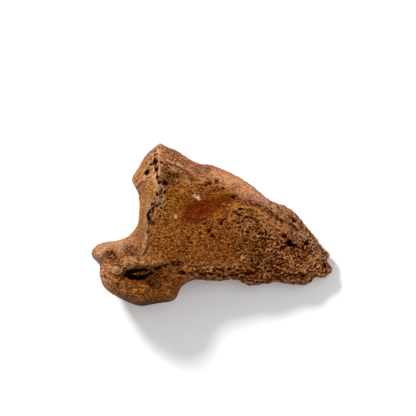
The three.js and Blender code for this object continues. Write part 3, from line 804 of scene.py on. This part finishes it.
# Where the flanks are darkened, as spots: height, place, half sizes, turn.
SHADE_SPOTS = [
    (1.4, (-14.7, -14.5), (1.9, 1.2), -35),
    (0.45, (-12.0, -13.4), (3.0, 1.7), -8),
    (0.6, (-19.2, -14.0), (3.8, 1.1), 6),
    (0.35, (-12.4, -15.4), (1.6, 1.0), -20),
    (0.3, (15.0, -2.2), (2.6, 0.9), -10),
    (0.35, (19.8, -9.4), (1.8, 1.3), 0),
    (0.75, (-2.3, 14.0), (2.8, 1.6), -14),
    (0.35, (17.6, 3.2), (2.2, 1.4), -40),
    (0.3, (-29.4, -6.4), (1.4, 1.6), 0),
    (0.3, (8.8, 8.0), (2.8, 0.9), -36),
    (0.35, (2.6, 2.2), (1.1, 1.6), -20),
    (0.2, (-15.9, 16.6), (1.8, 3.0), -30),
    (0.8, (-21.4, -12.5), (1.6, 1.0), -10),
    (0.95, (-24.6, -7.8), (1.7, 1.4), 0),
    (0.8, (-19.7, -6.6), (1.8, 1.4), -15),
    (0.4, (-17.6, -2.8), (2.2, 3.2), 0),
    (0.8, (-10.6, 11.4), (1.6, 2.0), -20),
]
# And along lines: height, line, half width.
SHADE_LINES = [(0.4, RIM_FURROW, 0.8), (0.35, BACK_GROOVE, 1.1), (0.7, RIM_CREVICE, 0.9)]


def finish_masks(points, facing, sunk, bulge):
    """Named masks from 0 to 1, with a value for each of the frame's points, in millimetres.

    Facing is how far the skin there faces out of the upper flank, sunk how deep the point lies in
    a hole or a cell, and bulge how far the skin round it stands out."""
    place = to_bone(points)
    wobbly = warped(place, *WOBBLE)
    x, y, _ = wobbly.T
    *far, _ = warped(place, *STRAY).T
    side = place[:, 2] - middle(place[:, 0])
    upper = ramp(side, 0.2, 1.6)
    lower = ramp(-side, 0.2, 1.6)

    rim_gap, rim_side = line_gap(x, y, RIM)
    spill = 0.5 * np.exp(-((rim_gap / 2.2) ** 2)) * (1 - ramp(y, 4, 8))
    beyond_rim = np.maximum(np.exp(-((rim_gap / 0.4) ** 2)), spill)
    before_rim = np.where(rim_side < 0, 1.0, beyond_rim) * ramp(y, -8.5, -5)
    before_rim *= 1 - 0.75 * ramp(y, 10, 14.5)
    back, _ = line_gap(x, y - 0.6, BACK_BAND)
    plum, _ = line_gap(x, y, PLUM_LINE)
    rims = sum(beside(x, y, line, 0.26) for line in (RIM[1:], LOWER_LIP, CURL, JOINT_RIM))
    shade = spots(x, y, SHADE_SPOTS) + ramp(-y, 17.6, 19.6)
    shade += sum(height * beside(x, y, line, half) for height, line, half in SHADE_LINES)
    back_edge = (1 - ramp(np.abs(side), 0.8, 2.2)) * blob(x, y, (12.6, 8.4), (4.6, 2.2), -36)
    fleck_x, fleck_y, _ = (place + FLECK_WOBBLE * (wobbly - place)).T
    lace = worn(x, y, side)

    masks = {
        "sunk": sunk,
        # painted highlight: lighter paint on the crests of the skin and along its rims
        "crest_highlight": np.maximum(ramp(bulge, 0.03, 0.2), upper * rims),
        # darker paint in the hollows of the skin: painted shade, and the dirt that lies there
        "dip_dirt_and_shade": ramp(-bulge, 0.03, 0.2) * (1 - ramp(sunk, 0.1, 0.3)),
        "smooth": (1 - ramp(np.abs(facing), 0.2, 0.6)) * (1 - ramp(x, -10, -6)),
        "lace": lace,
        "spongy": np.maximum(spongy(x, y), lace),
        "porous": porous(x, y),
        "joint": before_rim + 0.8 * (1 - ramp(x, -16.4, -14.6)) * ramp(y, -10, -7),
        "ledge": blob(x, y, (-20, -9.2), (6.5, 1.8)) + 0.8 * blob(x, y, (-23.4, -11.2), (1.9, 1.5)),
        "saddle": (
            blob(x, y, (-27.6, -7.0), (2.6, 3.0)) + blob(x, y, (-22.4, -4.6), (3.2, 1.6), 8)
            + 0.7 * beside(x, y, JOINT_RIM, 0.7)
        ) * (0.5 + 0.5 * ramp(facing, -0.2, 0.2)),
        "back": (1 - ramp(back, 0.9, 2.9)) * ramp(x, -8, -2) * (1 - ramp(x, 12, 17)),
        "apex": np.maximum(
            blob(x, y, (-10.2, 15.9), (7.5, 4.0), -30),
            0.8 * blob(x, y, (-15.6, 16.4), (2.4, 4.0), -30),
        ),
        "lilac": upper * (
            blob(x, y, (12.6, 5.8), (3.4, 1.3), -36)
            + 0.9 * blob(x, y, (-16.6, 15.2), (1.6, 3.4), -30)
        ) + lower * blob(x, y, (6, 9), (4, 1.4), -28),
        "amber": upper * np.maximum(
            blob(*far, (-3.3, 3.9), (5.8, 3.3), 24) * (1 - ramp(far[0] - far[1], -2.0, 0.2)),
            blob(*far, (2.6, 5.7), (3.7, 2.1), 12),
        ) + lower * blob(*far, (-3, 5.6), (6.5, 2.6), 8),
        "olive": upper * (
            blob(*far, (-9.8, 5.4), (4.4, 5.4), 10)
            + 0.6 * blob(*far, (-11.2, -1.0), (3.4, 4.5))
        ) + lower * 0.7 * blob(*far, (-10, 3), (3, 4)),
        "stain": upper * (
            blob(*far, (10.8, -6.2), (5.2, 4.2), -15)
            + 0.7 * blob(*far, (12.8, -9.8), (3.0, 1.8))
        ) + lower * blob(*far, (15, -7), (5, 3.6), -20),
        "knob": blob(x, y, (-17, -15.6), (9.5, 4.2), -12),
        "shade": (upper + lower) * shade + back_edge,
        "lit": np.maximum(blob(x, y, (-27.2, -12.3), (2.0, 4.4), 20), 0.6 * ramp(x, 21, 29))
        + 0.8 * blob(x, y, (19.5, -14.4), (7, 1.2), -3)
        + 0.4 * blob(x, y, (17.0, -12.2), (4, 1.2))
        + 0.7 * blob(x, y, (-18.4, 10.3), (1.2, 1.0)),
        "plum": (1 - ramp(plum, 1.2, 3.6)) * ramp(x, 10.5, 14),
        "arc": upper * np.maximum(
            beside(x, y, ARC_BAND, 1.6),
            0.8 * blob(x, y, (7.2, 2.6), (2.6, 1.8), -10)
            + blob(x, y, (-1.0, 9.5), (4.2, 1.3), -6)
            + 0.8 * blob(x, y, (5.0, 8.3), (1.6, 0.8), -25),
        ),
        "grey": upper * (beside(x, y, RIM_ROUGH, 0.8) + blob(x, y, (-6.2, 10.6), (0.9, 0.7))),
        "fleck": upper * sum(
            pale * (blob(fleck_x, fleck_y, at, half, turn) > FLECK_EDGE)
            for at, half, turn, pale in FLECKS
        ),
    }
    return {name: np.clip(mask, 0, 1).astype(np.float32) for name, mask in masks.items()}


# ------------------------ finishes
NOISE_ROUGHNESS = 0.55


class Finish:
    """A material's node tree, with a short call for each kind of node."""

    def __init__(self, name):
        self.material = bpy.data.materials.new(name)
        self.material.use_nodes = True
        self.tree = self.material.node_tree
        self.shader = self.tree.nodes["Principled BSDF"]

    def node(self, kind, inputs=(), output=0, **settings):
        made = self.tree.nodes.new("ShaderNode" + kind)
        for key, value in settings.items():
            setattr(made, key, value)
        for key, value in dict(inputs).items():
            self.feed(made.inputs[key], value)
        return made.outputs[output]

    def feed(self, socket, value):
        if isinstance(value, bpy.types.NodeSocket):
            self.tree.links.new(value, socket)
        else:
            socket.default_value = value

    def mask(self, name):
        return self.node("Attribute", output="Fac", attribute_name=name)

    def place(self, stretch=(1, 1, 1), turn=0):
        """Object coordinates in millimetres, stretched after a turn about Z by so many degrees."""
        where = self.node("TexCoord", output="Object")
        turned = self.node("Mapping", {"Vector": where, "Rotation": (0, 0, math.radians(turn))})
        scale = tuple(1 / MM / s for s in stretch)
        return self.node("Mapping", {"Vector": turned, "Scale": scale})

    def noise(self, size, detail, stretch=(1, 1, 1), turn=0):
        inputs = {
            "Vector": self.place(stretch, turn), "Scale": 1 / size, "Detail": detail,
            "Roughness": NOISE_ROUGHNESS,
        }
        return self.node("TexNoise", inputs)

    def seeds(self, size, output):
        return self.node("TexVoronoi", {"Vector": self.place(), "Scale": 1 / size}, output)

    def math(self, operation, *values):
        return self.node("Math", enumerate(values), operation=operation)

    def times(self, a, b):
        return self.math("MULTIPLY", a, b)

    def most(self, first, *others):
        for other in others:
            first = self.math("MAXIMUM", first, other)
        return first

    def steps(self, value, low, high, to_low=0.0, to_high=1.0):
        """As ramp, but from to_low to to_high."""
        inputs = enumerate((value, low, high, to_low, to_high))
        return self.node("MapRange", inputs, interpolation_type="SMOOTHSTEP")

    def mix(self, share, a, b, blend="MIX"):
        inputs = {0: share, 6: a, 7: b}  # the numbers of the sockets for colours
        return self.node("Mix", inputs, output=2, data_type="RGBA", blend_type=blend)


def rgb(*levels):
    """A colour given as it looks on a screen, from 0 to 255."""
    shares = [level / 255 for level in levels]
    return (*(((s + 0.055) / 1.055) ** 2.4 if s > 0.04 else s / 12.92 for s in shares), 1)


# The paints, each named after its place or its hue.
OCHRE = rgb(148, 82, 18)
BROWN = rgb(112, 56, 12)
RUST_BROWN = rgb(134, 80, 40)
DEEP_BROWN = rgb(74, 34, 9)
# painted shade for the hollows of the skin, with their dirt
DIP_BROWN = rgb(106, 54, 18)
SHADE_BROWN = rgb(62, 24, 5)
TAN = rgb(166, 110, 48)
PALE_TAN = rgb(210, 168, 150)
LEDGE_TAN = rgb(134, 92, 54)
PINK_TAN = rgb(214, 148, 106)
APEX_BROWN = rgb(122, 71, 34)
LILAC = rgb(182, 126, 120)
AMBER = rgb(78, 20, 0)
OLIVE = rgb(122, 74, 4)
ORANGE = rgb(144, 80, 26)
KNOB_BROWN = rgb(116, 66, 24)
LIT_TAN = rgb(184, 130, 96)
ARC_OCHRE = rgb(176, 110, 46)
PLUM = rgb(112, 72, 50)
GRAIN_OCHRE = rgb(184, 118, 50)
GRAIN_TAN = rgb(222, 168, 124)
GRAIN_STRAW = rgb(222, 166, 108)
GRAIN_AMBER = rgb(156, 76, 14)
# The crest paints are painted highlight, on the crests and rims and on the tops of the cell walls;
# CREST_OCHRE also lightens the light specks.
CREST_TAN = rgb(200, 146, 100)
CREST_OCHRE = rgb(192, 130, 62)
CREST_PINK = rgb(194, 140, 108)
CREST_PALE = rgb(204, 154, 114)
LACE_TAN = rgb(212, 168, 136)
GREY = rgb(140, 120, 92)
CHIP = rgb(216, 178, 146)

# What a colour is multiplied by where it is dark.
HOLE_BROWN = (0.33, 0.13, 0.04, 1)

# The noise patterns of the skin: size, detail, stretch, and turn in degrees.
FIBRE_NOISE = 0.5, 3, (3.4, 1, 1.4), 28
UPRIGHT_NOISE = 0.42, 3, (1, 2.4, 1), -8
LENGTHWISE_NOISE = 0.42, 4, (2.2, 1, 1.3), 6
GRAIN_NOISE = 0.56, 4
MOTTLE_NOISE = 1.9, 3
CLOUD_NOISE = 6.0, 2
SPECK_NOISE = 0.38, 1.5
PORE_SPACING = 0.55

SPECULAR = 0.08
SPECULAR_TINT = (1.0, 0.5, 0.15, 1)
BUMP_DISTANCE = 0.6 * MM


def bone_finish():
    f = Finish("fossil_bone")
    grain, mottle, clouds, specks = (
        f.noise(*noise) for noise in (GRAIN_NOISE, MOTTLE_NOISE, CLOUD_NOISE, SPECK_NOISE)
    )

    def tint(colour, mask, paint, least=1.0, most=1.0, pattern=mottle):
        """Paints where the mask is, from the least to the most share as the pattern has it."""
        share = f.mask(mask)
        if least != 1.0 or most != 1.0:
            share = f.times(share, f.steps(pattern, 0.4, 0.6, least, most))
        return f.mix(share, colour, paint)

    sound = f.most(f.mask("back"), f.mask("apex"))
    calm = f.most(sound, *map(f.mask, ["joint", "ledge", "saddle", "lit"]))
    glassy = f.steps(f.mask("amber"), 0.08, 0.75)
    smooth = f.mask("smooth")

    colour = f.mix(f.steps(mottle, 0.4, 0.6), BROWN, OCHRE)
    for coat in [
        ("spongy", RUST_BROWN, 0.5, 0.95, clouds),
        ("plum", PLUM, 0.5, 0.95),
        ("stain", DEEP_BROWN, 1.0, 0.65),
        ("olive", OLIVE),
        ("apex", APEX_BROWN, 0.8, 0.9),
        ("back", PINK_TAN, 0.6, 1.0),
        ("lilac", LILAC, 0.7, 0.9),
    ]:
        colour = tint(colour, *coat)
    colour = f.mix(glassy, colour, AMBER)
    for coat in [
        ("knob", KNOB_BROWN, 0.2, 0.9),
        ("knob", ORANGE, 0.0, 0.7, clouds),
        ("joint", TAN, 0.55, 1.0, clouds),
        ("ledge", LEDGE_TAN, 0.7, 0.9),
        ("saddle", PALE_TAN, 0.6, 0.9),
        ("grey", GREY, 0.2, 0.9, grain),
        ("lit", LIT_TAN, 0.6, 0.8),
        ("arc", ARC_OCHRE, 0.4, 0.9),
        # painted shade and dirt in the hollows of the skin
        ("dip_dirt_and_shade", DIP_BROWN, 0.6, 0.85),
        # painted highlight on the crests and rims of the skin
        ("crest_highlight", f.mix(calm, CREST_OCHRE, CREST_PALE), 0.55, 0.8),
        ("shade", SHADE_BROWN, 0.9, 0.75),
    ]:
        colour = tint(colour, *coat)

    # light and dark grain, weaker where the skin is sound, and drawn out along it
    streak = f.mix(sound, f.noise(*LENGTHWISE_NOISE), f.noise(*FIBRE_NOISE))
    streak = f.mix(f.mask("joint"), streak, f.noise(*UPRIGHT_NOISE))
    stir = f.times(f.steps(calm, 0, 1, 1, 0.65), f.steps(glassy, 0, 1, 1, 0.35))
    stir = f.times(stir, f.steps(smooth, 0, 1, 1, 0.5))
    pale = f.mix(f.mask("joint"), GRAIN_TAN, GRAIN_STRAW)
    light = f.times(f.steps(grain, 0.48, 0.66, 0.0, 0.7), stir)
    colour = f.mix(light, colour, f.mix(glassy, f.mix(calm, GRAIN_OCHRE, pale), GRAIN_AMBER))
    dim = f.times(f.steps(streak, 0.38, 0.55, 0.95, 0.0), stir)
    colour = f.mix(dim, colour, HOLE_BROWN, blend="MULTIPLY")

    # light and dark specks
    stir = f.times(f.steps(glassy, 0, 1, 1, 0.7), f.steps(smooth, 0, 1, 1, 0.35))
    light = f.times(f.steps(specks, 0.56, 0.68, 0.0, 0.65), stir)
    colour = f.mix(light, colour, f.mix(glassy, f.mix(calm, CREST_OCHRE, pale), GRAIN_AMBER))
    dim = f.times(f.steps(specks, 0.32, 0.44, 0.85, 0.0), stir)
    colour = f.mix(dim, colour, HOLE_BROWN, blend="MULTIPLY")

    # painted highlight on the walls round the cells, where they stand at the level of the skin
    walls = f.most(f.mask("spongy"), f.times(f.mask("porous"), 0.1))
    walls = f.times(walls, f.steps(f.mask("sunk"), 0.0, 0.16, 0.95, 0.0))
    walls = f.times(walls, f.steps(f.mask("stain"), 0.2, 0.9, 1.0, 0.45))
    walls = f.times(walls, f.steps(glassy, 0, 1, 1, 0.1))
    wall = f.mix(f.steps(clouds, 0.4, 0.6), CREST_TAN, CREST_OCHRE)
    wall = f.mix(f.most(f.mask("plum"), f.mask("lit")), wall, CREST_PINK)
    colour = f.mix(walls, colour, f.mix(f.mask("lace"), wall, LACE_TAN))

    # small dark pores painted in the skin, and painted shade inside the cells and holes, darker the
    # deeper they lie
    nearest = f.times(f.seeds(PORE_SPACING, "Distance"), f.steps(grain, 0.3, 0.7, 0.6, 1.5))
    mark = f.node("SeparateColor", {0: f.seeds(PORE_SPACING, "Color")})
    pored = f.steps(f.mask("porous"), 0.1, 0.8, 0.1, 1.0)
    pored = f.most(pored, f.times(f.mask("joint"), 0.7))
    pore = f.times(f.math("LESS_THAN", nearest, f.steps(mark, 0.3, 1.0, 0.0, 0.36)), pored)
    dark = f.most(f.times(pore, 0.9), f.steps(f.mask("sunk"), 0.06, 0.55))
    colour = f.mix(dark, colour, HOLE_BROWN, blend="MULTIPLY")
    colour = f.mix(f.times(f.mask("shade"), 0.6), colour, HOLE_BROWN, blend="MULTIPLY")
    colour = f.mix(f.mask("fleck"), colour, CHIP)
    f.feed(f.shader.inputs["Base Color"], colour)

    rough = f.math("MULTIPLY_ADD", grain, 0.3, 0.45)
    rough = f.math("MULTIPLY_ADD", f.mask("amber"), -0.1, rough)
    f.feed(f.shader.inputs["Roughness"], rough)
    f.feed(f.shader.inputs["Specular IOR Level"], SPECULAR)
    f.feed(f.shader.inputs["Specular Tint"], SPECULAR_TINT)

    height = f.math("MULTIPLY_ADD", streak, 0.8, grain)
    height = f.math("MULTIPLY_ADD", pore, -0.6, height)
    height = f.math("MULTIPLY_ADD", specks, 0.6, height)
    height = f.times(height, f.steps(glassy, 0, 1, 1, 0.5))
    bump = f.node("Bump", {"Height": height, "Distance": BUMP_DISTANCE, "Strength": 1.0})
    f.feed(f.shader.inputs["Normal"], bump)
    return f.material


# ------------------------ the bone
BULGE_REACH = 3  # voxels


def vertex_array(vectors, name):
    """The vectors of a mesh's vertices, as rows."""
    flat = np.empty(len(vectors) * 3, np.float32)
    vectors.foreach_get(name, flat)
    return flat.reshape(-1, 3)


def make_bone(node):
    carving = Carving(node)
    carve_forms(carving)
    skin = carving.values.copy()
    bulge = carving.bulge(BULGE_REACH)
    carve_holes(carving, SINEW_SLITS + HOLES, 1)
    carve_holes(carving, LOWER_HOLES, -1)
    add_struts(carving)
    carve_tissue(carving)
    rest_on_floor(carving)

    piece = added("claw_skin", bone_mesh(carving))
    piece.data = thinned(piece, TRIANGLES)
    piece.data.shade_smooth()
    points = vertex_array(piece.data.vertices, "co") / MM
    facing = vertex_array(piece.data.vertex_normals, "vector") @ TURN_ROWS[:, 2]
    sunk = -carving.sample(points, skin)
    for name, mask in finish_masks(points, facing, sunk, carving.sample(points, bulge)).items():
        piece.data.attributes.new(name, "FLOAT", "POINT").data.foreach_set("value", mask)
    piece.data.materials.append(bone_finish())
    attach(piece, "root")
    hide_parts("claw_bone")


# ------------------------ the camera, the stage and the light
VIEW_CENTRE = (-1.0, 4.25, 0.0)  # the point of the bone's middle plane that the camera looks at
VIEW_WIDTH = 104.0  # what the picture's side takes in there
VIEW_DISTANCE = 600.0
SENSOR = 36.0
CLIP = 0.01, 20  # metres

FLOOR_HALF = 3.0  # metres
FLOOR_PAINT = (0.93, 0.93, 0.93, 1)
FLOOR_ROUGHNESS = 0.8
STUDIO_POWER = 0.56  # of the light from all round
# The lamps: name, place, side, power.
LAMPS = [("key", (-260, 420, 420), 140, 4.6), ("fill", (250, 60, 560), 300, 0.7)]
LAMP_TARGET = (0, 0, 8)


def add_camera():
    data = bpy.data.cameras.new("camera")
    data.sensor_width = SENSOR
    data.lens = SENSOR * VIEW_DISTANCE / VIEW_WIDTH
    camera = added("camera", data)
    centre = Vector(to_frame(VIEW_CENTRE))
    camera.matrix_world = Matrix.Translation(
        (centre + TURN @ Vector((0, 0, VIEW_DISTANCE))) * MM
    ) @ TURN.to_4x4()
    data.clip_start, data.clip_end = CLIP
    bpy.context.scene.camera = camera


def add_lamp(name, place, side, power):
    data = bpy.data.lights.new(name, "AREA")
    data.size = side * MM
    data.energy = power
    lamp = added(name, data)
    lamp.location = Vector(place) * MM
    lamp.rotation_mode = "QUATERNION"
    lamp.rotation_quaternion = (Vector(LAMP_TARGET) - Vector(place)).to_track_quat("-Z", "Y")


def add_floor():
    mesh = bpy.data.meshes.new("floor")
    corners = [(-1, -1), (1, -1), (1, 1), (-1, 1)]
    mesh.from_pydata([(x * FLOOR_HALF, y * FLOOR_HALF, 0) for x, y in corners], [], [(0, 1, 2, 3)])
    floor = added("floor", mesh)
    f = Finish("pale_floor")
    f.feed(f.shader.inputs["Base Color"], FLOOR_PAINT)
    f.feed(f.shader.inputs["Roughness"], FLOOR_ROUGHNESS)
    mesh.materials.append(f.material)


def add_world():
    """Soft light from all round, in front of a background that is plain white to the camera."""
    world = bpy.data.worlds.new("studio")
    bpy.context.scene.world = world
    world.use_nodes = True
    tree = world.node_tree
    soft = tree.nodes["Background"]
    bright = tree.nodes.new("ShaderNodeBackground")
    for background in (soft, bright):
        background.inputs["Color"].default_value = (1, 1, 1, 1)
    soft.inputs["Strength"].default_value = STUDIO_POWER
    pick = tree.nodes.new("ShaderNodeMixShader")
    tree.links.new(tree.nodes.new("ShaderNodeLightPath").outputs["Is Camera Ray"], pick.inputs[0])
    tree.links.new(soft.outputs[0], pick.inputs[1])
    tree.links.new(bright.outputs[0], pick.inputs[2])
    tree.links.new(pick.outputs[0], tree.nodes["World Output"].inputs["Surface"])


add_camera()
add_floor()
add_world()
for lamp in LAMPS:
    add_lamp(*lamp)
bpy.context.scene.view_settings.view_transform = "Standard"
make_bone(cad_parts["claw_bone"])
